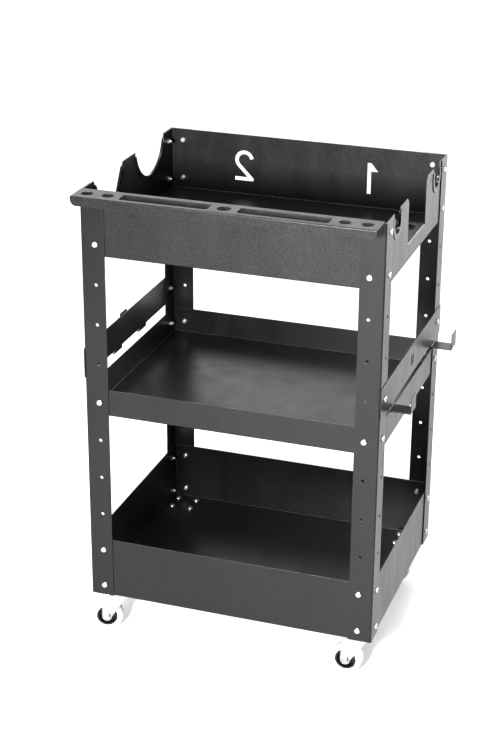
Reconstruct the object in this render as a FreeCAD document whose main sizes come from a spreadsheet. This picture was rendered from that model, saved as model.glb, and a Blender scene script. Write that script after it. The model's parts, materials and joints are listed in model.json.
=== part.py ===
"""Tool cart: four perforated angle posts, three sheet trays, two hook rails and four swivel casters.

Millimetres, +Z up, +Y to the back. The origin is on the floor, in the middle of the cart's outline.
"""
import FreeCAD, Part
import math
import os
import re

from FreeCAD import Placement, Rotation, Vector

DIMENSIONS = {
    # frame
    "width": (600, "over the posts, left to right"),
    "depth": (478, "over the posts, front to back"),
    "frame_lift": (99.5, "floor to the lower end of the posts"),
    "hole_pitch": (82.5, "between neighbouring holes of a post"),
    "end_margin": (22.75, "end of a post to its first hole"),
    "post_length": (870.5, "ten pitches and two end margins"),
    "post_leg": (48, "width of a post's flange"),
    "post_sheet": (2, "thickness of the posts"),
    "post_bend": (3.5, "outer radius of the posts' fold"),
    "front_inset": (29, "corner of a post to the holes of its front or back flange"),
    "side_inset": (28.5, "corner of a post to the holes of its side flange"),
    "bore": (3.5, "radius of a screw hole"),
    # trays
    "sheet": (1.5, "thickness of trays and rails"),
    "fold_out": (2.5, "outer radius of a fold"),
    "fold_in": (1, "inner radius of a fold"),
    "top_low": (741, "lower end of the posts to the top tray's underside"),
    "top_high": (129.5, "height of the top tray's walls"),
    "middle_low": (408, "lower end of the posts to the middle tray's underside"),
    "middle_high": (56, "height of the middle tray"),
    "bottom_high": (129, "height of the bottom tray"),
    # tool ledge in front of the top tray
    "ledge_reach": (54, "front of the posts to the ledge's lip"),
    "ledge_step": (4, "top of the posts to the top of the ledge"),
    "ledge_inset": (5, "side of the cart to the end of the ledge"),
    "ledge_lip": (18, "height of the ledge's lip"),
    "lip_corner": (12, "radius of the lip's lower corners"),
    "ledge_line": (27, "lip to the centre line of the ledge's holes"),
    "tool_hole": (11.4, "radius of the four outer tool holes"),
    "centre_hole": (13.2, "radius of the middle tool hole"),
    "hole_outer": (271.5, "middle of the cart to the outermost tool holes"),
    "hole_inner": (229.5, "middle of the cart to the next tool holes"),
    "slot_near": (28, "middle of the cart to the near end of a tool slot"),
    "slot_long": (175, "length of a tool slot"),
    "slot_wide": (32, "width of a tool slot"),
    "slot_corner": (6, "corner radius of a tool slot"),
    # openings of the side walls, measured from the front of the posts and the top of the wall
    "gap_front": (60, "front edge of the left gap at the top"),
    "gap_back": (206, "back edge of the left gap at the top"),
    "gap_deep": (58, "depth of the left gap"),
    "gap_slope": (35, "how far each edge of the gap leans in over its depth"),
    "gap_corner": (14, "corner radius at the bottom of the gap"),
    "notch_middle": (347, "middle of the left notch"),
    "notch_round": (78.5, "radius of the left notch"),
    "notch_rise": (10, "centre of the notch above the wall"),
    "u_front": (83, "middle of the front U slot"),
    "u_back": (391, "middle of the back U slot"),
    "u_wide": (45, "width of a U slot"),
    "u_deep": (46, "depth of a U slot"),
    "low_front": (170, "front end of the low part of the right wall"),
    "low_back": (308, "back end of the low part of the right wall"),
    "low_high": (36.5, "height of the low part above the tray's underside"),
    "shelf_wide": (65, "width of the inward flange"),
    "shelf_hole": (20, "radius of the flange's hole"),
    "shelf_hole_y": (271, "front of the posts to the flange's hole"),
    "shelf_hole_x": (33, "side of the cart to the flange's hole"),
    "fold_gap": (2, "relief beside a folded flange"),
    "prong_cut": (10, "slant on the free corners of the right wall"),
    # edge trims
    "trim_lip": (8.5, "how far the trim covers the sheet"),
    "trim_end": (9, "top of the wall to the ends of a trim"),
    "trim_wall": (1.6, "thickness of the trim"),
    # digits cut through the back panel
    "digit_high": (66, "height of a digit"),
    "digit_wide": (42, "width of the digit 2"),
    "digit_stroke": (8.5, "width of a digit's stroke"),
    "flag_wide": (19.5, "middle of the digit 1 to the tip of its flag"),
    "flag_high": (18, "height of the flag"),
    "digit_low": (771, "lower end of the posts to the digits' foot"),
    "one_x": (138, "middle of the cart to the digit 1"),
    "two_x": (-134, "middle of the cart to the digit 2"),
    # side rails
    "rail_low": (484.5, "lower end of the posts to a rail's lower edge"),
    "rail_high": (62, "height of a rail"),
    "hook_wide": (36, "width of a hook"),
    "hook_drop": (8.5, "how far a hook hangs below the rail"),
    "hook_reach": (45, "how far a hook stands out of the post"),
    "hook_up": (35, "height of a hook's raised end"),
    "hook_right_front": (81.5, "front of the posts to the right rail's front hook"),
    "hook_right_back": (423, "front of the posts to the right rail's back hook"),
    "hook_left_front": (170, "front of the posts to the left rail's front hook"),
    "hook_left_back": (301, "front of the posts to the left rail's back hook"),
    "fold_tip": (4, "corner radius of a hook's raised end"),
    "window_wide": (6, "width of a window in the right rail"),
    "window_high": (24, "height of a window in the right rail"),
    # screws
    "head_round": (6, "radius of a screw head"),
    "head_high": (3.3, "height of a screw head"),
    "head_fillet": (2, "rounding of a screw head"),
    "screw_round": (3, "radius of a screw's thread"),
    "screw_long": (12, "length of a screw under its head"),
    "socket_round": (2.3, "corner radius of the hexagon socket"),
    "socket_deep": (2, "depth of the hexagon socket"),
    "nut_round": (5.77, "corner radius of a nut"),
    "nut_high": (5, "height of a nut"),
    "nut_bore": (3.05, "radius of a nut's hole"),
    # casters
    "caster_x": (261.5, "middle of the cart to a caster's kingpin"),
    "caster_y": (42, "front or back of the posts to a kingpin"),
    "plate_side": (60, "side of the square top plate"),
    "plate_thick": (2.5, "thickness of the top plate"),
    "plate_corner": (6, "corner radius of the top plate"),
    "plate_x": (21.75, "kingpin to a screw, left to right"),
    "plate_y": (20, "kingpin to a screw, front to back"),
    "race_round": (21, "outer radius of the ball race"),
    "race_high": (8.25, "height of the upper race under the plate"),
    "race_line": (16, "radius of the ring of balls"),
    "ball_round": (2.5, "radius of a ball"),
    "kingpin_round": (5, "radius of the kingpin"),
    "kingpin_head": (3, "height of the kingpin's lower head"),
    "race_gap": (1, "between the upper and the lower race"),
    "play": (0.06, "running clearance of the turning parts"),
    "fork_gap": (28, "between the fork's cheeks"),
    "fork_sheet": (2.2, "thickness of the fork"),
    "fork_fold": (2, "outer radius of the fork's folds"),
    "fork_top": (13, "top plate's upper face down to the fork"),
    "fork_reach": (24.5, "kingpin to the fork's leading edge"),
    "cheek_lean": (2.3, "how far the fork's trailing edge leans in"),
    "front_left_turn": (15, "how far the front left caster is turned, in degrees"),
    "trail": (21, "kingpin to axle"),
    "axle_drop": (67, "top plate's upper face down to the axle"),
    "boss_round": (10, "radius of a cheek's lower end"),
    "tyre_round": (32.5, "radius of the tyre"),
    "tyre_wide": (24, "width of the tyre"),
    "tyre_crown": (5, "rounding of the tyre's shoulders"),
    "rim_round": (22, "radius of the wheel centre"),
    "rim_wide": (25, "width of the wheel centre"),
    "rim_wall": (4, "thickness of the rim"),
    "web_thick": (6, "thickness of the web between rim and hub"),
    "hub_round": (9, "radius of the hub"),
    "hub_wide": (27, "length of the hub"),
    "axle_round": (4, "radius of the axle"),
    "axle_nut": (7.5, "corner radius of the axle's head and nut"),
    "axle_end": (1.5, "axle's thread beyond its nut"),
    "axle_nut_high": (5, "height of the axle's head and nut"),
}
HOLES = 11
BALLS = 12
TOLERANCE = 0.01
CLEAR = 1

doc = FreeCAD.newDocument("ToolCart")
sheet = doc.addObject("Spreadsheet::Sheet", "Sizes")
for row, (alias, (value, note)) in enumerate(DIMENSIONS.items(), start=1):
    sheet.set(f"A{row}", note)
    sheet.set(f"B{row}", str(value))
    sheet.setAlias(f"B{row}", alias)
doc.recompute()

# Places that many parts share, as formulas of the driving dimensions.
LEFT = "(-width/2)"
RIGHT = "(width/2)"
FRONT = "(-(depth + head_high - ledge_reach)/2)"
BACK = f"({FRONT} + depth)"
BASE = "frame_lift"
WALL_TOP = f"({BASE} + post_length)"
WALL_IN = "(width/2 - post_sheet - sheet)"
WALL_X = f"({LEFT} + post_sheet)"
ACROSS = f"sheet + {2*CLEAR}"
nodes = []


def size(alias):
    return float(sheet.get(alias))


def bind(item, prop, formula):
    """Tie a property to a formula in which the sheet's aliases stand as plain words."""
    def full(match):
        word = match.group(0)
        return f"Sizes.{word}" if word in DIMENSIONS else word
    item.setExpression(prop, re.sub(r"[a-z][a-z_]*", full, str(formula)))


def place(item, low):
    for letter, formula in zip("xyz", low):
        bind(item, f".Placement.Base.{letter}", formula)


def block(name, low, extent):
    item = doc.addObject("Part::Box", name)
    for prop, formula in zip(("Length", "Width", "Height"), extent):
        bind(item, prop, formula)
    place(item, low)
    return item


TURNS = {
    "+z": Rotation(),
    "-z": Rotation(Vector(1, 0, 0), 180),
    "+x": Rotation(Vector(0, 1, 0), 90),
    "-x": Rotation(Vector(0, 1, 0), -90),
    "+y": Rotation(Vector(1, 0, 0), -90),
    "-y": Rotation(Vector(1, 0, 0), 90),
}


def rod(name, start, way, radius, length):
    """A cylinder that starts at a point and runs along one of the axes."""
    item = doc.addObject("Part::Cylinder", name)
    bind(item, "Radius", radius)
    bind(item, "Height", length)
    item.Placement = Placement(Vector(), TURNS[way])
    place(item, start)
    return item


def hexagon(name, start, way, radius, length):
    item = doc.addObject("Part::Prism", name)
    item.Polygon = 6
    bind(item, "Circumradius", radius)
    bind(item, "Height", length)
    item.Placement = Placement(Vector(), TURNS[way])
    place(item, start)
    return item


def group(name, items):
    item = doc.addObject("Part::Compound", name)
    item.Links = items
    return item


def copy_of(master, name, start, way="+z"):
    """A placed copy of a piece that was built at the origin."""
    item = group(name, [master])
    item.Placement = Placement(Vector(), TURNS[way])
    place(item, start)
    return item


def fuse(name, *items):
    item = doc.addObject("Part::MultiFuse", name)
    item.Shapes = list(items)
    item.Refine = True
    return item


def cut(name, base, *tools):
    tool = tools[0] if len(tools) == 1 else group(f"{name}_tools", list(tools))
    item = doc.addObject("Part::Cut", name)
    item.Base = base
    item.Tool = tool
    return item


def on_side(side, box, point):
    limits = {"x-": point.x - box.XMin, "x+": point.x - box.XMax,
              "y-": point.y - box.YMin, "y+": point.y - box.YMax,
              "z-": point.z - box.ZMin, "z+": point.z - box.ZMax}
    return abs(limits[side]) < TOLERANCE


def rounded(name, solid, alias, *corners):
    """Round the straight edges in which two sides of a piece's box meet."""
    doc.recompute()
    box = solid.Shape.BoundBox
    radius = size(alias)
    edges = []
    for number, edge in enumerate(solid.Shape.Edges, start=1):
        middle = edge.CenterOfMass
        if any(on_side(one, box, middle) and on_side(two, box, middle) for one, two in corners):
            edges.append((number, radius, radius))
    item = doc.addObject("Part::Fillet", name)
    item.Base = solid
    item.Edges = edges
    return item


def node(name, item):
    item.Label = name
    nodes.append(item)
    return item


UPRIGHT = [("x-", "y-"), ("x-", "y+"), ("x+", "y-"), ("x+", "y+")]
UNDERSIDE = [("x-", "z-"), ("x+", "z-"), ("y-", "z-"), ("y+", "z-")]


# ---------------------------------------------------------------- screw places
def hole_height(number):
    """Height of a post's hole, counted from the top."""
    return f"({BASE} + end_margin + {HOLES - number}*hole_pitch)"


def corner_sites(side, end, numbers, faces="xy"):
    """Screw places of one post: outer point and inward direction, side -1 left, end -1 front."""
    sites = []
    for number in numbers:
        height = hole_height(number)
        x_edge, inward_x = (LEFT, "+") if side < 0 else (RIGHT, "-")
        y_edge, inward_y = (FRONT, "+") if end < 0 else (BACK, "-")
        if "y" in faces:
            sites.append(((f"{x_edge} {inward_x} front_inset", y_edge, height), f"{inward_y}y"))
        if "x" in faces:
            sites.append(((x_edge, f"{y_edge} {inward_y} side_inset", height), f"{inward_x}x"))
    return sites


CORNERS = {"front_left": (-1, -1), "front_right": (1, -1), "back_left": (-1, 1), "back_right": (1, 1)}


def tray_sites(numbers):
    sites = []
    for side, end in CORNERS.values():
        sites += corner_sites(side, end, numbers)
    return sites


def copies(master, stem, sites):
    return [copy_of(master, f"{stem}_{count}", start, way) for count, (start, way) in enumerate(sites)]


# Screw and nut are built at the origin: the screw's head is below z = 0 and its thread points up.
bore_tool = rod("bore_tool", (0, 0, -CLEAR), "+z", "bore", f"post_sheet + sheet + {2*CLEAR}")
head_blank = rod("head_blank", (0, 0, "-head_high"), "+z", "head_round", "head_high")
head_dome = rounded("head_dome", head_blank, "head_fillet", ("z-", "z-"))
thread = rod("thread", (0, 0, f"-{CLEAR}"), "+z", "screw_round", f"screw_long + {CLEAR}")
socket = hexagon("socket", (0, 0, f"-head_high - {CLEAR}"), "+z", "socket_round", f"socket_deep + {CLEAR}")
screw = cut("screw", fuse("screw_blank", head_dome, thread), socket)
nut_blank = hexagon("nut_blank", (0, 0, 0), "+z", "nut_round", "nut_high")
nut_hole = rod("nut_hole", (0, 0, -CLEAR), "+z", "nut_bore", f"nut_high + {2*CLEAR}")
nut = cut("nut", nut_blank, nut_hole)


def screws_and_nuts(stem, sites, grip):
    """One node of screws and one of their nuts, which sit behind a grip of sheet."""
    node(f"{stem}_screws", group(f"{stem}_screws", copies(screw, f"{stem}_screw", sites)))
    nut_sites = []
    for start, way in sites:
        at = {"x": 0, "y": 1, "z": 2}[way[1]]
        behind = list(start)
        behind[at] = f"{start[at]} {way[0]} ({grip})"
        nut_sites.append((tuple(behind), way))
    node(f"{stem}_nuts", group(f"{stem}_nuts", copies(nut, f"{stem}_nut", nut_sites)))


# ---------------------------------------------------------------- posts
def post(name, side, end):
    """An angle with a rounded fold and a row of holes in each flange."""
    x_low = LEFT if side < 0 else f"{RIGHT} - post_leg"
    y_low = FRONT if end < 0 else f"{BACK} - post_leg"
    fold = ("x-" if side < 0 else "x+", "y-" if end < 0 else "y+")
    bar = block(f"{name}_bar", (x_low, y_low, BASE), ("post_leg", "post_leg", "post_length"))
    bar = rounded(f"{name}_bar_fold", bar, "post_bend", fold)
    hollow_x = f"{LEFT} + post_sheet" if side < 0 else f"{RIGHT} - post_leg - {CLEAR}"
    hollow_y = f"{FRONT} + post_sheet" if end < 0 else f"{BACK} - post_leg - {CLEAR}"
    inside = f"post_leg - post_sheet + {CLEAR}"
    hollow = block(f"{name}_hollow", (hollow_x, hollow_y, f"{BASE} - {CLEAR}"),
                   (inside, inside, f"post_length + {2*CLEAR}"))
    hollow = rounded(f"{name}_hollow_fold", hollow, "fold_in", fold)
    bores = copies(bore_tool, f"{name}_bore", corner_sites(side, end, range(1, HOLES + 1)))
    angle = cut(f"{name}_angle", bar, hollow)
    return node(name, cut(name, angle, group(f"{name}_bores", bores)))


for corner, (side, end) in CORNERS.items():
    post(f"post_{corner}", side, end)


# ---------------------------------------------------------------- trays
def shell(name, low, high):
    """An open folded box that stands inside the four posts."""
    outer = block(f"{name}_outer", (f"{LEFT} + post_sheet", f"{FRONT} + post_sheet", low),
                  ("width - 2*post_sheet", "depth - 2*post_sheet", high))
    outer = rounded(f"{name}_outer_folds", outer, "fold_out", *UPRIGHT, *UNDERSIDE)
    inset = "(post_sheet + sheet)"
    inner = block(f"{name}_inner", (f"{LEFT} + {inset}", f"{FRONT} + {inset}", f"{low} + sheet"),
                  (f"width - 2*{inset}", f"depth - 2*{inset}", high))
    inner = rounded(f"{name}_inner_folds", inner, "fold_in", *UPRIGHT, *UNDERSIDE)
    return cut(f"{name}_shell", outer, inner)


MIDDLE_LOW = f"({BASE} + middle_low)"
TOP_LOW = f"({BASE} + top_low)"
LEDGE_TOP = f"({WALL_TOP} + ledge_step)"

middle_sites = tray_sites([6])
middle_bores = group("middle_bores", copies(bore_tool, "middle_bore", middle_sites))
node("tray_middle", cut("tray_middle", shell("middle", MIDDLE_LOW, "middle_high"), middle_bores))

bottom_sites = tray_sites([10, 11])
plate_sites = []
for side, end in CORNERS.values():
    mid_x = f"({side}*caster_x)"
    mid_y = f"({FRONT} + caster_y)" if end < 0 else f"({BACK} - caster_y)"
    for sx in "+-":
        for sy in "+-":
            plate_sites.append(((f"{mid_x} {sx} plate_x", f"{mid_y} {sy} plate_y", f"{BASE} + sheet"), "-z"))
bottom_bores = group("bottom_bores", copies(bore_tool, "bottom_bore", bottom_sites + plate_sites))
node("tray_bottom", cut("tray_bottom", shell("bottom", BASE, "bottom_high"), bottom_bores))


def ledge():
    """The front wall's upper edge, folded outwards over the posts and down into a lip."""
    x_low = f"{LEFT} + ledge_inset"
    length = "width - 2*ledge_inset"
    inset = "(post_sheet + sheet)"
    outer = block("ledge_outer", (x_low, f"{FRONT} - ledge_reach", f"{LEDGE_TOP} - ledge_lip"),
                  (length, f"ledge_reach + {inset}", "ledge_lip"))
    outer = rounded("ledge_outer_folds", outer, "fold_out", ("y-", "z+"), ("y+", "z+"))
    inner = block("ledge_inner", (f"{x_low} - {CLEAR}", f"{FRONT} - ledge_reach + sheet",
                                  f"{LEDGE_TOP} - ledge_lip - {CLEAR}"),
                  (f"{length} + {2*CLEAR}", "ledge_reach + post_sheet - sheet",
                   f"ledge_lip - sheet + {CLEAR}"))
    inner = rounded("ledge_inner_folds", inner, "fold_in", ("y-", "z+"), ("y+", "z+"))
    channel = cut("ledge_channel", outer, inner)
    tools = [lip_corner("left_lip", -1), lip_corner("right_lip", 1)]
    line = f"{FRONT} - ledge_reach + ledge_line"
    punch = f"{LEDGE_TOP} - sheet - {CLEAR}"
    deep = f"sheet + {2*CLEAR}"
    holes = [("centre", "0", "centre_hole")]
    for side in "+-":
        holes.append((f"outer{len(holes)}", f"{side}hole_outer", "tool_hole"))
        holes.append((f"inner{len(holes)}", f"{side}hole_inner", "tool_hole"))
    tools += [rod(f"ledge_{name}", (x, line, punch), "+z", radius, deep) for name, x, radius in holes]
    for name, start in (("left", "-slot_near - slot_long"), ("right", "slot_near")):
        slot = block(f"ledge_slot_{name}", (start, f"{line} - slot_wide/2", punch),
                     ("slot_long", "slot_wide", deep))
        tools.append(rounded(f"ledge_slot_{name}_round", slot, "slot_corner", *UPRIGHT))
    return cut("ledge", channel, *tools)


def lip_corner(name, side):
    """What is cut away to round a lower corner of the lip."""
    foot = f"{LEDGE_TOP} - ledge_lip"
    edge = f"{LEFT} + ledge_inset" if side < 0 else f"{RIGHT} - ledge_inset"
    low_x = f"{edge} - {CLEAR}" if side < 0 else f"{edge} - lip_corner"
    square = block(f"{name}_square", (low_x, f"{FRONT} - ledge_reach - {CLEAR}", f"{foot} - {CLEAR}"),
                   (f"lip_corner + {CLEAR}", f"sheet + {2*CLEAR}", f"lip_corner + {CLEAR}"))
    sign = "+" if side < 0 else "-"
    disc = rod(f"{name}_disc", (f"{edge} {sign} lip_corner", f"{FRONT} - ledge_reach - {2*CLEAR}",
                                f"{foot} + lip_corner"), "+y", "lip_corner", f"sheet + {4*CLEAR}")
    return cut(f"{name}_corner", square, disc)


def u_tool(name, middle, grow, x_low, wide):
    """A U-shaped block across the right wall; grow widens it on every side."""
    radius = f"(u_wide/2 + {grow})"
    axis_z = f"({WALL_TOP} - u_deep + u_wide/2)"
    round_part = rod(f"{name}_round", (x_low, middle, axis_z), "+x", radius, wide)
    straight = block(f"{name}_straight", (x_low, f"{middle} - {radius}", axis_z),
                     (wide, f"2*{radius}", f"u_deep - u_wide/2 + {CLEAR}"))
    return fuse(name, round_part, straight)


def front_u_tool(name, grow, x_low, wide):
    return u_tool(name, f"({FRONT} + u_front)", grow, x_low, wide)


def back_u_tool(name, grow, x_low, wide):
    return u_tool(name, f"({FRONT} + u_back)", grow, x_low, wide)


def notch_tool(name, grow, x_low, wide):
    """A lying cylinder across the left wall."""
    return rod(name, (x_low, f"{FRONT} + notch_middle", f"{WALL_TOP} + notch_rise"), "+x",
               f"(notch_round + {grow})", wide)


def gap_tool(name, grow, x_low, wide):
    """A tapered block with rounded foot corners across the left wall; grow moves its edges outwards.

    The wedge's own Y axis points up and its own Z axis to the cart's front.
    """
    lean = "(gap_slope/gap_deep)"
    shift = f"({grow}*sqrt(1 + {lean}*{lean}))"
    foot = f"({shift} - {grow}*{lean})"
    head = f"({shift} + {CLEAR}*{lean})"
    wedge = doc.addObject("Part::Wedge", f"{name}_wedge")
    for prop in ("Xmin", "X2min", "Ymin"):
        bind(wedge, prop, 0)
    for prop in ("Xmax", "X2max"):
        bind(wedge, prop, wide)
    bind(wedge, "Ymax", f"gap_deep + {grow} + {CLEAR}")
    bind(wedge, "Zmin", f"gap_slope - {foot}")
    bind(wedge, "Zmax", f"gap_back - gap_front - gap_slope + {foot}")
    bind(wedge, "Z2min", f"-{head}")
    bind(wedge, "Z2max", f"gap_back - gap_front + {head}")
    wedge.Placement = Placement(Vector(), Rotation(Vector(1, 0, 0), 90))
    place(wedge, (x_low, f"{FRONT} + gap_back", f"{WALL_TOP} - gap_deep - {grow}"))
    doc.recompute()
    floor = wedge.Shape.BoundBox.ZMin
    radius = size("gap_corner") + (wedge.Ymax.Value - size("gap_deep") - CLEAR)
    edges = []
    for number, edge in enumerate(wedge.Shape.Edges, start=1):
        across = edge.BoundBox.XLength > TOLERANCE > edge.BoundBox.YLength
        if across and abs(edge.CenterOfMass.z - floor) < TOLERANCE:
            edges.append((number, radius, radius))
    item = doc.addObject("Part::Fillet", name)
    item.Base = wedge
    item.Edges = edges
    return item


def corner_cut(name, along, height):
    """A square bar on its edge that slants a free corner of the right wall."""
    item = doc.addObject("Part::Box", name)
    bind(item, "Length", f"sheet + {2*CLEAR}")
    bind(item, "Width", "prong_cut*sqrt(2)")
    bind(item, "Height", "prong_cut*sqrt(2)")
    item.Placement = Placement(Vector(), Rotation(Vector(1, 0, 0), 45))
    place(item, (f"{WALL_IN} - {CLEAR}", along, f"{height} - prong_cut"))
    return item


def digit_tools():
    """The digits 1 and 2, cut through; they read the right way from behind."""
    half = size("digit_stroke")/2
    high = size("digit_high") - half
    bowl = size("digit_wide")/2 - half
    arc = [math.radians(turn) for turn in range(170, -41, -15)]
    points = [(-bowl*math.cos(turn), high - bowl + bowl*math.sin(turn)) for turn in arc]
    points += [(bowl, half), (-bowl - half, half)]
    strokes = []
    for number, (start, end) in enumerate(zip(points, points[1:])):
        strokes.append(stroke(f"two_{number}", "two_x", start, end, number > 0))
    strokes.append(stroke("one_stem", "one_x", (0, 0), (0, size("digit_high")), False))
    strokes.append(one_flag())
    return fuse("digits", *strokes)


DIGIT_FACE = f"{BACK} - post_sheet - sheet - {CLEAR}"
DIGIT_FOOT = f"{BASE} + digit_low"


def one_flag():
    """The triangle beside the top of the 1."""
    item = doc.addObject("Part::Wedge", "one_flag")
    for prop, formula in (("Xmin", 0), ("X2min", 0), ("Ymin", 0), ("Zmin", 0), ("Z2min", 0),
                          ("Xmax", "flag_wide"), ("X2max", "digit_stroke/2"), ("Ymax", "flag_high"),
                          ("Zmax", ACROSS), ("Z2max", ACROSS)):
        bind(item, prop, formula)
    item.Placement = Placement(Vector(), Rotation(Vector(1, 0, 0), 90))
    place(item, ("one_x", f"{DIGIT_FACE} + {ACROSS}", f"{DIGIT_FOOT} + digit_high - flag_high"))
    return item


def stroke(name, middle, start, end, round_start):
    """A bar from one point to another in the plane of the back panel."""
    parts = []
    length = math.dist(start, end)
    lean = math.atan2(end[1] - start[1], end[0] - start[0])
    if round_start:
        joint = (f"{middle} + {start[0]}", DIGIT_FACE, f"{DIGIT_FOOT} + {start[1]}")
        parts.append(rod(f"{name}_joint", joint, "+y", "digit_stroke/2", ACROSS))
    item = doc.addObject("Part::Box", f"{name}_bar")
    bind(item, "Length", length)
    bind(item, "Width", ACROSS)
    bind(item, "Height", "digit_stroke")
    item.Placement = Placement(Vector(), Rotation(Vector(0, 1, 0), -math.degrees(lean)))
    offset = size("digit_stroke")/2
    place(item, (f"{middle} + {start[0] + offset*math.sin(lean)}", DIGIT_FACE,
                 f"{DIGIT_FOOT} + {start[1] - offset*math.cos(lean)}"))
    parts.append(item)
    return fuse(name, *parts) if round_start else item


top_sites = tray_sites([1, 2])
low_part = block("low_part", (f"{WALL_IN} - {CLEAR}", f"{FRONT} + low_front", f"{TOP_LOW} + low_high"),
                 (ACROSS, "low_back - low_front", f"top_high - low_high + {CLEAR}"))
opening_tools = [
    group("top_bores", copies(bore_tool, "top_bore", top_sites)),
    gap_tool("gap", "0", f"{WALL_X} - {CLEAR}", ACROSS),
    notch_tool("notch", "0", f"{WALL_X} - {CLEAR}", ACROSS),
    front_u_tool("u_front_slot", "0", f"{WALL_IN} - {CLEAR}", ACROSS),
    back_u_tool("u_back_slot", "0", f"{WALL_IN} - {CLEAR}", ACROSS),
    low_part,
    corner_cut("low_corner_front", f"{FRONT} + low_front", WALL_TOP),
    corner_cut("low_corner_back", f"{FRONT} + low_back", WALL_TOP),
    digit_tools(),
]


def shelf():
    """The low part's edge, folded inwards into a flange with one hole."""
    length = "low_back - low_front - 2*fold_gap"
    y_low = f"{FRONT} + low_front + fold_gap"
    top = f"{TOP_LOW} + low_high"
    outer = block("shelf_outer", (f"{RIGHT} - post_sheet - shelf_wide", y_low, f"{top} - 2*fold_out"),
                  ("shelf_wide", length, "2*fold_out"))
    outer = rounded("shelf_fold", outer, "fold_out", ("x+", "z+"))
    inner = block("shelf_under", (f"{RIGHT} - post_sheet - shelf_wide - {CLEAR}", f"{y_low} - {CLEAR}",
                                  f"{top} - 2*fold_out - {CLEAR}"),
                  (f"shelf_wide - sheet + {CLEAR}", f"{length} + {2*CLEAR}",
                   f"2*fold_out - sheet + {CLEAR}"))
    inner = rounded("shelf_under_fold", inner, "fold_in", ("x+", "z+"))
    hole = rod("shelf_hole_tool", (f"{RIGHT} - shelf_hole_x", f"{FRONT} + shelf_hole_y",
                                   f"{top} - sheet - {CLEAR}"), "+z", "shelf_hole", f"sheet + {2*CLEAR}")
    return cut("shelf", outer, inner, hole)


shelf_fold_room = block("shelf_fold_room", (f"{WALL_IN} - {CLEAR}", f"{FRONT} + low_front",
                                            f"{TOP_LOW} + low_high - 2*fold_out"),
                        (ACROSS, "low_back - low_front", f"2*fold_out + {CLEAR}"))
top_open = cut("top_open", shell("top", TOP_LOW, "top_high"), *opening_tools, shelf_fold_room)
front_rise = block("front_rise",
                   (f"{LEFT} + ledge_inset", f"{FRONT} + post_sheet", f"{WALL_TOP} - ledge_lip"),
                   ("width - 2*ledge_inset", "sheet", "ledge_step + ledge_lip - fold_out"))
node("tray_top", fuse("tray_top", top_open, front_rise, ledge(), shelf()))


# ---------------------------------------------------------------- edge trims
def trim(name, tool, x_low):
    """A U profile that grips the wall's edge all along an opening."""
    face = f"{x_low} - trim_wall"
    wide = "sheet + 2*trim_wall"
    outer = tool(f"{name}_outer", "trim_lip", face, wide)
    inner = tool(f"{name}_inner", "(-trim_wall)", f"{face} - {CLEAR}", f"{wide} + {2*CLEAR}")
    wall = block(f"{name}_wall", (x_low, FRONT, TOP_LOW), ("sheet", "depth", "top_high + ledge_step"))
    wall = cut(f"{name}_wall_open", wall, tool(f"{name}_edge", "0", f"{x_low} - {CLEAR}", ACROSS))
    above = block(f"{name}_above", (f"{face} - {CLEAR}", FRONT, f"{WALL_TOP} - trim_end"),
                  (f"{wide} + {2*CLEAR}", "depth", "trim_end + notch_rise + notch_round + 2*trim_lip"))
    tools = [inner, wall, above]
    for side, end in CORNERS.values():
        post_y = FRONT if end < 0 else f"{BACK} - post_leg - fold_gap/4"
        post_x = f"{LEFT} - {CLEAR}" if side < 0 else f"{RIGHT} - post_sheet"
        tools.append(block(f"{name}_post{side}{end}".replace("-", "m"), (post_x, post_y, TOP_LOW),
                           (f"post_sheet + {CLEAR}", "post_leg + fold_gap/4", "top_high + ledge_step")))
    node(name, cut(name, outer, fuse(f"{name}_tools", *tools)))


trim("edge_trim_left_gap", gap_tool, WALL_X)
trim("edge_trim_left_notch", notch_tool, WALL_X)
trim("edge_trim_right_front", front_u_tool, WALL_IN)
trim("edge_trim_right_back", back_u_tool, WALL_IN)


# ---------------------------------------------------------------- side rails
def hook(name, side, middle):
    """A tongue from the rail's lower edge, folded outwards and up."""
    foot = f"{BASE} + rail_low - hook_drop"
    x_low = f"{RIGHT}" if side > 0 else f"{LEFT} - hook_reach"
    y_low = f"{FRONT} + {middle} - hook_wide/2"
    outer = block(f"{name}_outer", (x_low, y_low, foot), ("hook_reach", "hook_wide", "hook_up"))
    outer = rounded(f"{name}_folds", outer, "fold_out", ("x-", "z-"), ("x+", "z-"))
    outer = rounded(f"{name}_tip", outer, "fold_tip", ("y-", "z+"), ("y+", "z+"))
    inner = block(f"{name}_inner", (f"{x_low} + sheet", f"{y_low} - {CLEAR}", f"{foot} + sheet"),
                  ("hook_reach - 2*sheet", f"hook_wide + {2*CLEAR}", "hook_up"))
    inner = rounded(f"{name}_inner_folds", inner, "fold_in", ("x-", "z-"), ("x+", "z-"))
    return cut(name, outer, inner)


def rail(name, side, hooks):
    x_low = RIGHT if side > 0 else f"{LEFT} - sheet"
    plate = block(f"{name}_plate", (x_low, FRONT, f"{BASE} + rail_low"), ("sheet", "depth", "rail_high"))
    plate = rounded(f"{name}_ends", plate, "fold_out", ("y-", "z-"), ("y-", "z+"), ("y+", "z-"), ("y+", "z+"))
    parts = [plate]
    for number, middle in enumerate(hooks):
        parts.append(hook(f"{name}_hook{number}", side, middle))
    sites = corner_sites(side, -1, [5], "x") + corner_sites(side, 1, [5], "x")
    outer_sites = [((f"{start[0]} {way[0].translate(FLIP)} sheet",) + start[1:], way) for start, way in sites]
    tools = copies(bore_tool, f"{name}_bore", outer_sites)
    if side > 0:
        for number, shift in enumerate(("-window_wide", "window_wide")):
            tools.append(window(f"{name}_window{number}", shift))
    return node(name, cut(name, fuse(f"{name}_blank", *parts), group(f"{name}_tools", tools)))


FLIP = str.maketrans("+-", "-+")


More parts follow.
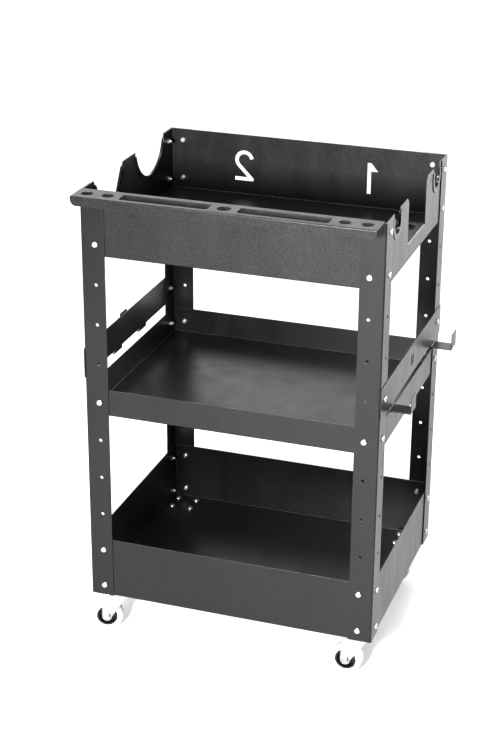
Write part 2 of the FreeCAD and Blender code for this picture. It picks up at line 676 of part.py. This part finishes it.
def window(name, shift):
    """A plain upright slot with round ends in the middle of the right rail."""
    middle = f"({FRONT} + depth/2 + {shift})"
    foot = f"({BASE} + rail_low + rail_high/2 - window_high/2)"
    radius = "window_wide/2"
    low = rod(f"{name}_low", (f"{RIGHT} - {CLEAR}", middle, f"{foot} + {radius}"), "+x", radius, ACROSS)
    high = rod(f"{name}_high", (f"{RIGHT} - {CLEAR}", middle, f"{foot} + window_high - {radius}"), "+x",
               radius, ACROSS)
    web = block(f"{name}_web", (f"{RIGHT} - {CLEAR}", f"{middle} - {radius}", f"{foot} + {radius}"),
                (ACROSS, "window_wide", "window_high - window_wide"))
    return fuse(name, low, high, web)


rail("rail_right", 1, ("hook_right_front", "hook_right_back"))
rail("rail_left", -1, ("hook_left_front", "hook_left_back"))

rail_sites = []
for side in (-1, 1):
    for start, way in corner_sites(side, -1, [5], "x") + corner_sites(side, 1, [5], "x"):
        rail_sites.append(((f"{start[0]} {way[0].translate(FLIP)} sheet",) + start[1:], way))

screws_and_nuts("top_tray", top_sites, "post_sheet + sheet")
screws_and_nuts("middle_tray", middle_sites, "post_sheet + sheet")
screws_and_nuts("bottom_tray", bottom_sites, "post_sheet + sheet")
screws_and_nuts("rail", rail_sites, "post_sheet + sheet")
screws_and_nuts("caster", plate_sites, "sheet + plate_thick")


# ---------------------------------------------------------------- casters
# A caster is built at the origin: kingpin on the Z axis, plate's upper face at z = 0, wheel to the left.
def caster_plate():
    corner = "-plate_side/2"
    plate = block("plate_blank", (corner, corner, "-plate_thick"),
                  ("plate_side", "plate_side", "plate_thick"))
    plate = rounded("plate_round", plate, "plate_corner", *UPRIGHT)
    race = rod("race_blank", (0, 0, "-plate_thick - race_high"), "+z",
               "race_round", "plate_thick + race_high")
    pin_hole = rod("plate_pin_hole", (0, 0, f"-plate_thick - race_high - {CLEAR}"), "+z", "kingpin_round",
                   f"plate_thick + race_high + {2*CLEAR}")
    tools = [pin_hole, ring("upper_groove", f"-{BALL_DROP}")]
    for sx in "+-":
        for sy in "+-":
            name = f"plate_bore{len(tools)}"
            tools.append(rod(name, (f"{sx}plate_x", f"{sy}plate_y", f"-plate_thick - {CLEAR}"), "+z",
                             "bore", f"plate_thick + {2*CLEAR}"))
    return cut("plate", fuse("plate_race", plate, race), group("plate_tools", tools))


BALL_DROP = "(plate_thick + race_high + race_gap/2)"


def ring(name, height):
    """The groove in which the balls run."""
    item = doc.addObject("Part::Torus", name)
    bind(item, "Radius1", "race_line")
    bind(item, "Radius2", "ball_round + play")
    place(item, (0, 0, height))
    return item


def balls(name):
    """One ring of balls around the kingpin."""
    spheres = []
    for number in range(BALLS):
        turn = 360/BALLS*number
        item = doc.addObject("Part::Sphere", f"{name}_{number}")
        bind(item, "Radius", "ball_round")
        place(item, (f"race_line*cos({turn}deg)", f"race_line*sin({turn}deg)", f"-{BALL_DROP}"))
        spheres.append(item)
    return group(name, spheres)


def kingpin():
    """A rivet: it is held in the plate, and its lower head keeps the fork up."""
    shank = rod("pin_shank", (0, 0, "-fork_top - fork_sheet - play - kingpin_head"), "+z", "kingpin_round",
                "fork_top + fork_sheet + play + kingpin_head")
    head_low = rod("pin_head", (0, 0, "-fork_top - fork_sheet - play - kingpin_head"), "+z",
                   "kingpin_round*1.8", "kingpin_head")
    head_low = rounded("pin_head_round", head_low, "fold_in", ("z-", "z-"))
    return fuse("kingpin", shank, head_low)


def cheek(name, y_low):
    """A tapered side of the fork, from its top down to a round boss at the axle."""
    foot = "-axle_drop"
    item = doc.addObject("Part::Wedge", f"{name}_taper")
    rise = "(axle_drop - fork_top)"
    bind(item, "Xmin", "-trail - boss_round")
    bind(item, "Xmax", "-trail + boss_round")
    bind(item, "X2min", "-trail - boss_round + cheek_lean")
    bind(item, "X2max", "fork_reach")
    for prop, formula in (("Zmin", 0), ("Z2min", 0), ("Zmax", "fork_sheet"), ("Z2max", "fork_sheet"),
                          ("Ymin", 0), ("Ymax", rise)):
        bind(item, prop, formula)
    item.Placement = Placement(Vector(), Rotation(Vector(1, 0, 0), 90))
    place(item, (0, f"{y_low} + fork_sheet", foot))
    boss = rod(f"{name}_boss", ("-trail", y_low, foot), "+y", "boss_round", "fork_sheet")
    return fuse(name, item, boss)


def fork():
    """A bent U: two cheeks under a crown that carries the lower ball race."""
    half = "(fork_gap/2 + fork_sheet)"
    crown = block("crown", ("-trail - boss_round + cheek_lean", f"-{half}", "-fork_top - fork_sheet"),
                  ("fork_reach + trail + boss_round - cheek_lean", f"2*{half}", "fork_sheet"))
    crown = rounded("crown_round", crown, "fork_fold", ("y-", "z+"), ("y+", "z+"))
    race = rod("lower_race", (0, 0, "-fork_top - fork_sheet"), "+z", "race_round",
               "fork_top + fork_sheet - plate_thick - race_high - race_gap")
    sides = [cheek("cheek_front", f"-{half}"), cheek("cheek_back", "fork_gap/2")]
    pin_hole = rod("fork_pin_hole", (0, 0, "-fork_top - fork_sheet - 1"), "+z", "kingpin_round + play",
                   "fork_sheet + fork_top")
    axle_hole = rod("fork_axle_hole", ("-trail", f"-{half} - {CLEAR}", "-axle_drop"), "+y", "axle_round",
                    f"2*{half} + {2*CLEAR}")
    trimmed = cut("cheeks_trimmed", fuse("cheeks", *sides), crown_corners(half))
    body = fuse("fork_blank", crown, race, trimmed)
    tools = group("fork_tools", [pin_hole, axle_hole, ring("lower_groove", f"-{BALL_DROP}")])
    return cut("fork", body, tools)


def crown_corners(half):
    """What lies outside the crown's rounded folds, taken off the cheeks' upper corners."""
    wide = "fork_reach + trail + boss_round"
    start = f"-trail - boss_round - {CLEAR}"
    outer = block("corner_box", (start, f"-{half} - {CLEAR}", "-fork_top - fork_sheet"),
                  (f"{wide} + {2*CLEAR}", f"2*{half} + {2*CLEAR}", f"fork_sheet + {CLEAR}"))
    inner = block("corner_keep", (f"{start} - {CLEAR}", f"-{half}", f"-fork_top - fork_sheet - {CLEAR}"),
                  (f"{wide} + {4*CLEAR}", f"2*{half}", f"fork_sheet + {CLEAR}"))
    inner = rounded("corner_keep_round", inner, "fork_fold", ("y-", "z+"), ("y+", "z+"))
    return cut("crown_corners", outer, inner)


def axle():
    """A hexagon bolt through the fork and the wheel."""
    half = "(fork_gap/2 + fork_sheet)"
    shank = rod("axle_shank", ("-trail", f"-{half}", "-axle_drop"), "+y", "axle_round",
                f"2*{half} + axle_nut_high + axle_end")
    head = hexagon("axle_head", ("-trail", f"-{half}", "-axle_drop"), "-y", "axle_nut", "axle_nut_high")
    return fuse("axle", shank, head)


def axle_nut():
    half = "(fork_gap/2 + fork_sheet)"
    blank = hexagon("axle_nut_blank", ("-trail", half, "-axle_drop"), "+y", "axle_nut", "axle_nut_high")
    hole = rod("axle_nut_hole", ("-trail", f"{half} - {CLEAR}", "-axle_drop"), "+y", "axle_round",
               f"axle_nut_high + {2*CLEAR}")
    return cut("axle_nut_master", blank, hole)


def disc(name, radius, wide):
    """A lying cylinder on the axle's line, centred between the cheeks."""
    return rod(name, ("-trail", f"-{wide}/2", "-axle_drop"), "+y", radius, wide)


def wheel_centre():
    """Rim, web and hub in one, with a bore that runs on the axle."""
    rim = disc("rim_disc", "rim_round", "rim_wide")
    hub = disc("hub_disc", "hub_round", "hub_wide")
    dish = "(rim_wide - web_thick)/2"
    tools = [disc("hub_bore", "axle_round + play", f"(hub_wide + {2*CLEAR})")]
    for name, y_low in (("front", f"-rim_wide/2 - {CLEAR}"), ("back", f"rim_wide/2 - {dish}")):
        outer = rod(f"dish_{name}", ("-trail", y_low, "-axle_drop"), "+y", "rim_round - rim_wall",
                    f"{dish} + {CLEAR}")
        keep = rod(f"dish_{name}_keep", ("-trail", f"{y_low} - {CLEAR}", "-axle_drop"), "+y", "hub_round",
                   f"{dish} + {3*CLEAR}")
        tools.append(cut(f"dish_{name}_ring", outer, keep))
    return cut("wheel_centre", fuse("wheel_blank", rim, hub), group("wheel_tools", tools))


def tyre():
    """A solid tyre with rounded shoulders, pressed on the wheel centre."""
    blank = disc("tyre_disc", "tyre_round", "tyre_wide")
    blank = rounded("tyre_shoulders", blank, "tyre_crown", ("y-", "y-"), ("y+", "y+"))
    bore = disc("tyre_bore", "rim_round", f"(tyre_wide + {2*CLEAR})")
    return cut("tyre_master", blank, bore)


MASTERS = {
    "caster_plate": caster_plate(),
    "fork": fork(),
    "axle": axle(),
    "axle_nut": axle_nut(),
    "wheel": wheel_centre(),
    "tyre": tyre(),
}
SHARED = {"kingpins": kingpin(), "swivel_balls": balls("ball_ring")}


def caster_site(side, end):
    y = f"{FRONT} + caster_y" if end < 0 else f"{BACK} - caster_y"
    return f"{side}*caster_x", y, BASE


for corner, (side, end) in CORNERS.items():
    for stem, master in MASTERS.items():
        item = copy_of(master, f"{stem}_{corner}", caster_site(side, end))
        if corner == "front_left" and stem != "caster_plate":
            bind(item, ".Placement.Rotation.Angle", "front_left_turn")
        node(f"{stem}_{corner}", item)
for stem, master in SHARED.items():
    sites = [(caster_site(side, end), "+z") for side, end in CORNERS.values()]
    node(stem, group(stem, copies(master, f"{stem}_at", sites)))


# ---------------------------------------------------------------- check and write
doc.recompute()
for item in doc.Objects:
    if "Invalid" in item.State or "Error" in item.State:
        raise RuntimeError(f"{item.Label} failed: {item.State}")
os.makedirs("parts", exist_ok=True)
for item in nodes:
    shape = item.Shape
    if shape.isNull() or not shape.isValid() or not shape.Solids:
        raise RuntimeError(f"{item.Label} has no valid solid")
    shape.exportStep(f"parts/{item.Label}.step")
    print(f"{item.Label}: {len(shape.Solids)} solids, {shape.Volume/1000:.2f} cm3")
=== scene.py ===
import json
import math

import bpy
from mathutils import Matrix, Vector

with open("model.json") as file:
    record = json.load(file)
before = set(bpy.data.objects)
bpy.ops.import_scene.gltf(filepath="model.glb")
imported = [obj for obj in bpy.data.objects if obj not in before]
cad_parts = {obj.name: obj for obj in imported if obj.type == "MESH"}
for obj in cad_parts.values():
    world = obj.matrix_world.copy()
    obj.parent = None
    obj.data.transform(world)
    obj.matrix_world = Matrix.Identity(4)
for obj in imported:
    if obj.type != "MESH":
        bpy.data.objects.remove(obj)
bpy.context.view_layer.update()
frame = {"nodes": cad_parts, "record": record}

nodes = frame["nodes"]


# ------------------------------------------------------------------ node helpers
RANGE_SOCKETS = ("From Min", "From Max", "To Min", "To Max")


class Shader:
    """A material with a Principled shader and short ways to add nodes to it."""

    def __init__(self, name):
        self.material = bpy.data.materials.new(name)
        self.material.use_nodes = True
        self.tree = self.material.node_tree
        self.surface = self.tree.nodes["Principled BSDF"]
        self.place = self.add("ShaderNodeTexCoord").outputs["Object"]

    def add(self, kind, **props):
        node = self.tree.nodes.new(kind)
        for key, value in props.items():
            setattr(node, key, value)
        return node

    def link(self, source, target):
        self.tree.links.new(source, target)

    def feed(self, socket, value):
        if isinstance(value, bpy.types.NodeSocket):
            self.link(value, socket)
        else:
            socket.default_value = value

    def stretched(self, scale):
        mapping = self.add("ShaderNodeMapping")
        self.link(self.place, mapping.inputs["Vector"])
        mapping.inputs["Scale"].default_value = scale
        return mapping.outputs["Vector"]

    def noise(self, scale, detail=3.0, rough=0.5, vector=None):
        node = self.add("ShaderNodeTexNoise")
        self.link(vector or self.place, node.inputs["Vector"])
        node.inputs["Scale"].default_value = scale
        node.inputs["Detail"].default_value = detail
        node.inputs["Roughness"].default_value = rough
        return node.outputs["Fac"]

    def cells(self, scale):
        node = self.add("ShaderNodeTexVoronoi")
        self.link(self.place, node.inputs["Vector"])
        node.inputs["Scale"].default_value = scale
        return node.outputs["Distance"]

    def ramp(self, value, low, high, out_low=0.0, out_high=1.0):
        node = self.add("ShaderNodeMapRange", interpolation_type="SMOOTHSTEP")
        self.feed(node.inputs["Value"], value)
        for key, number in zip(RANGE_SOCKETS, (low, high, out_low, out_high)):
            node.inputs[key].default_value = number
        return node.outputs["Result"]

    def math(self, operation, one, two=0.0):
        node = self.add("ShaderNodeMath", operation=operation)
        self.feed(node.inputs[0], one)
        self.feed(node.inputs[1], two)
        return node.outputs[0]

    def mix(self, factor, one, two):
        node = self.add("ShaderNodeMix", data_type="RGBA")
        self.feed(node.inputs[0], factor)
        self.feed(node.inputs[6], one)
        self.feed(node.inputs[7], two)
        return node.outputs[2]

    def soft_edges(self, radius):
        """The normal of a surface whose edges are rounded by a radius."""
        node = self.add("ShaderNodeBevel", samples=6)
        node.inputs["Radius"].default_value = radius
        return node.outputs["Normal"]

    def edge_mask(self, rounded, low, high):
        """1 on edges and 0 on flat faces, from how far the rounded normal leans."""
        geometry = self.add("ShaderNodeNewGeometry")
        product = self.add("ShaderNodeVectorMath", operation="DOT_PRODUCT")
        self.link(rounded, product.inputs[0])
        self.link(geometry.outputs["True Normal"], product.inputs[1])
        lean = self.math("SUBTRACT", 1.0, product.outputs["Value"])
        return self.ramp(lean, low, high)

    def bump(self, height, strength, distance, normal=None):
        node = self.add("ShaderNodeBump")
        node.inputs["Strength"].default_value = strength
        node.inputs["Distance"].default_value = distance
        self.link(height, node.inputs["Height"])
        if normal is not None:
            self.link(normal, node.inputs["Normal"])
        return node.outputs["Normal"]

    def finish(self, color, roughness, normal=None, **constants):
        self.feed(self.surface.inputs["Base Color"], color)
        self.feed(self.surface.inputs["Roughness"], roughness)
        if normal is not None:
            self.link(normal, self.surface.inputs["Normal"])
        for key, value in constants.items():
            self.surface.inputs[key.replace("_", " ")].default_value = value
        return self.material


def shade(value):
    """A grey with a trace of blue."""
    return (value, value, value*1.03, 1.0)


# ------------------------------------------------------------------ materials
def powder_coat(name, grain, roughness):
    """Black powder coat: fine orange peel, scuffs, and a thin lighter colour on sharp edges that is
    partly edge wear and partly a painted highlight.
    """
    s = Shader(name)
    rounded = s.soft_edges(0.001)
    edges = s.edge_mask(rounded, 0.02, 0.25)
    broken = s.ramp(s.noise(160.0, 4.0, 0.6), 0.36, 0.6)
    wear_and_highlight = s.math("MULTIPLY", edges, broken)
    clouds = s.noise(6.0, 5.0, 0.6)
    specks = s.ramp(s.noise(620.0, 3.0, 0.7), 0.5, 0.68)
    body = s.mix(s.ramp(clouds, 0.3, 0.7), shade(0.0036), shade(0.0056))
    body = s.mix(s.math("MULTIPLY", specks, 2.2*grain), body, shade(0.018))
    # Edges are painted lighter grey: partly edge wear, partly a painted highlight along the edges.
    color = s.mix(wear_and_highlight, body, shade(0.1))
    rub = s.noise(22.0, 6.0, 0.65, s.stretched((1.0, 1.0, 0.35)))
    rough = s.ramp(rub, 0.25, 0.75, roughness - 0.03, roughness + 0.05)
    rough = s.math("SUBTRACT", rough, s.math("MULTIPLY", wear_and_highlight, 0.08))
    peel = s.math("ADD", s.noise(420.0, 2.0, 0.5), s.math("MULTIPLY", s.noise(1300.0, 2.0, 0.5), 0.4))
    normal = s.bump(peel, grain, 0.0003, rounded)
    s.link(s.ramp(s.noise(540.0, 3.0, 0.7), 0.3, 0.7, 0.5 - 0.6*grain, 0.5 + 0.6*grain),
           s.surface.inputs["Specular IOR Level"])
    return s.finish(color, rough, normal, Specular_Tint=(0.96, 0.98, 1.0, 1.0))


def zinc(name, tint, roughness, streak):
    """Bright zinc plate: faint rolling streaks, cloudy passivation and a dull film in places."""
    s = Shader(name)
    rounded = s.soft_edges(0.0004)
    clouds = s.noise(55.0, 5.0, 0.6)
    lines = s.noise(900.0, 2.0, 0.5, s.stretched(streak))
    dull = tuple(part*0.8 for part in tint[:3]) + (1.0,)
    color = s.mix(s.ramp(clouds, 0.35, 0.7), tint, dull)
    rough = s.math("ADD", s.ramp(clouds, 0.3, 0.75, roughness, roughness + 0.12),
                   s.math("MULTIPLY", lines, 0.06))
    normal = s.bump(lines, 0.12, 0.00008, rounded)
    return s.finish(color, rough, normal, Metallic=1.0)


def soft_rubber(name, low, high, roughness, grain):
    """Rubber: slightly mottled colour, soft pores and a rubbed, duller skin."""
    s = Shader(name)
    rounded = s.soft_edges(0.0005)
    mottle = s.noise(90.0, 5.0, 0.6)
    color = s.mix(s.ramp(mottle, 0.3, 0.7), low, high)
    rough = s.ramp(s.noise(35.0, 4.0, 0.6), 0.3, 0.7, roughness - 0.07, roughness + 0.07)
    pores = s.math("ADD", s.noise(2200.0, 2.0, 0.5), s.math("MULTIPLY", s.cells(900.0), 0.4))
    normal = s.bump(pores, grain, 0.0001, rounded)
    return s.finish(color, rough, normal)


def moulded(name, low, high, roughness):
    """Moulded plastic with a fine spark-eroded texture."""
    s = Shader(name)
    rounded = s.soft_edges(0.0004)
    color = s.mix(s.ramp(s.noise(40.0, 4.0, 0.6), 0.3, 0.7), low, high)
    rough = s.ramp(s.noise(120.0, 4.0, 0.6), 0.3, 0.7, roughness - 0.06, roughness + 0.06)
    normal = s.bump(s.noise(2600.0, 2.0, 0.5), 0.25, 0.00008, rounded)
    return s.finish(color, rough, normal)


MATERIALS = {
    "post_paint": powder_coat("post_powder_coat", 0.08, 0.34),
    "tray_paint": powder_coat("tray_powder_coat", 0.12, 0.34),
    "rail_paint": powder_coat("rail_powder_coat", 0.1, 0.34),
    "edge_rubber": soft_rubber("edge_rubber", shade(0.006), shade(0.011), 0.3, 0.12),
    "plate_zinc": zinc("plate_zinc", (0.22, 0.25, 0.24, 1), 0.22, (1.0, 0.08, 1.0)),
    "fork_zinc": zinc("fork_zinc", (0.41, 0.42, 0.42, 1), 0.24, (1.0, 1.0, 0.08)),
    "axle_zinc": zinc("axle_zinc", (0.36, 0.38, 0.40, 1), 0.22, (1.0, 0.1, 1.0)),
    "ball_steel": zinc("ball_steel", (0.82, 0.82, 0.84, 1), 0.08, (1.0, 1.0, 1.0)),
    "wheel_plastic": moulded("wheel_plastic", shade(0.004), shade(0.008), 0.4),
    "tyre_rubber": soft_rubber("tyre_rubber", (0.50, 0.50, 0.49, 1), (0.58, 0.58, 0.57, 1), 0.5, 0.2),
    "nut_zinc": zinc("nut_zinc", (0.48, 0.50, 0.51, 1), 0.26, (1.0, 1.0, 1.0)),
    "screw_zinc": zinc("screw_zinc", (0.56, 0.55, 0.53, 1), 0.34, (1.0, 1.0, 1.0)),
}
# The top tray's coat is coarser than the rest.
COARSER = {"tray_top": powder_coat("tray_top_powder_coat", 0.3, 0.38)}
slots = {entry["node"]: entry["material_slot"] for entry in frame["record"]["subparts"]}
for name, node in nodes.items():
    node.data.materials.clear()
    node.data.materials.append(COARSER.get(name) or MATERIALS[slots[name]])


# ------------------------------------------------------------------ studio
FLOOR_HALF = 30.0
FLOOR_GLOW, FLOOR_GLOW_NEAR = 0.27, 0.1
FLOOR_FADE_FROM, FLOOR_FADE_TO = -1.8, -1.1     # Y in front of the cart, outside the picture
CART_MIDDLE = Vector((0, 0, 0.5))


def stage_floor():
    """A pale floor that runs out of the picture on every side and dims in front of it."""
    corners = [(x*FLOOR_HALF, y*FLOOR_HALF, 0) for x, y in ((-1, -1), (1, -1), (1, 1), (-1, 1))]
    mesh = bpy.data.meshes.new("studio_floor")
    mesh.from_pydata(corners, [], [(0, 1, 2, 3)])
    floor = bpy.data.objects.new("studio_floor", mesh)
    bpy.context.scene.collection.objects.link(floor)
    s = Shader("studio_floor")
    color = s.mix(s.noise(1.5), (0.48, 0.48, 0.48, 1), (0.52, 0.52, 0.52, 1))
    split = s.add("ShaderNodeSeparateXYZ")
    s.link(s.place, split.inputs[0])
    glow = s.ramp(split.outputs["Y"], FLOOR_FADE_FROM, FLOOR_FADE_TO, FLOOR_GLOW_NEAR, FLOOR_GLOW)
    s.link(glow, s.surface.inputs["Emission Strength"])
    floor.data.materials.append(s.finish(color, 0.6, Emission_Color=(1, 1, 1, 1)))


def softbox(name, spot, size, power):
    """A rectangular light (metres, watts) turned towards the middle of the cart."""
    light = bpy.data.lights.new(name, "AREA")
    light.shape = "RECTANGLE"
    light.size, light.size_y = size
    light.energy = power
    item = bpy.data.objects.new(name, light)
    item.location = spot
    item.rotation_mode = "QUATERNION"
    item.rotation_quaternion = (CART_MIDDLE - Vector(spot)).to_track_quat("-Z", "Y")
    bpy.context.scene.collection.objects.link(item)


def studio_world(backdrop, ceiling):
    """A bright backdrop low behind the cart (+Y), a dim ceiling all around and darkness in front."""
    world = bpy.data.worlds.new("studio")
    bpy.context.scene.world = world
    world.use_nodes = True
    tree = world.node_tree
    split = tree.nodes.new("ShaderNodeSeparateXYZ")
    tree.links.new(tree.nodes.new("ShaderNodeTexCoord").outputs["Generated"], split.inputs[0])
    low = tree.nodes.new("ShaderNodeMapRange")
    whole = tree.nodes.new("ShaderNodeMapRange")
    tree.links.new(split.outputs["Y"], low.inputs["Value"])
    tree.links.new(split.outputs["Z"], whole.inputs["Value"])
    for node, limits in ((low, (-0.25, 0.25, 0.0, backdrop)), (whole, (0.42, 0.72, 0.0, ceiling))):
        for key, number in zip(RANGE_SOCKETS, limits):
            node.inputs[key].default_value = number
    tree.links.new(low.outputs["Result"], whole.inputs["To Min"])
    background = tree.nodes["Background"]
    background.inputs["Color"].default_value = (1, 1, 1, 1)
    tree.links.new(whole.outputs["Result"], background.inputs["Strength"])


stage_floor()
softbox("softbox_front", spot=(0.1, -3.2, 1.6), size=(0.5, 0.5), power=255)
softbox("softbox_above", spot=(0.0, -1.0, 3.4), size=(2.6, 0.35), power=70)
softbox("softbox_back_right", spot=(2.4, 3.2, 0.9), size=(1.4, 1.4), power=65)
studio_world(backdrop=1.75, ceiling=0.35)
view = bpy.context.scene.view_settings
view.view_transform = "Standard"
view.look = "High Contrast"
view.exposure = 0.15

# ------------------------------------------------------------------ camera
CAMERA_SPOT = (1.0330, -3.1254, 1.9547)
CAMERA_TURN = (66.852, -0.383, 18.940)      # degrees: up from straight down, lean, round to the right
camera_data = bpy.data.cameras.new("camera")
camera_data.sensor_width = 36.0
camera_data.lens = 84.39
camera_data.clip_start, camera_data.clip_end = 0.05, 200.0
camera = bpy.data.objects.new("camera", camera_data)
bpy.context.scene.collection.objects.link(camera)
camera.location = CAMERA_SPOT
camera.rotation_euler = [math.radians(angle) for angle in CAMERA_TURN]
bpy.context.scene.camera = camera
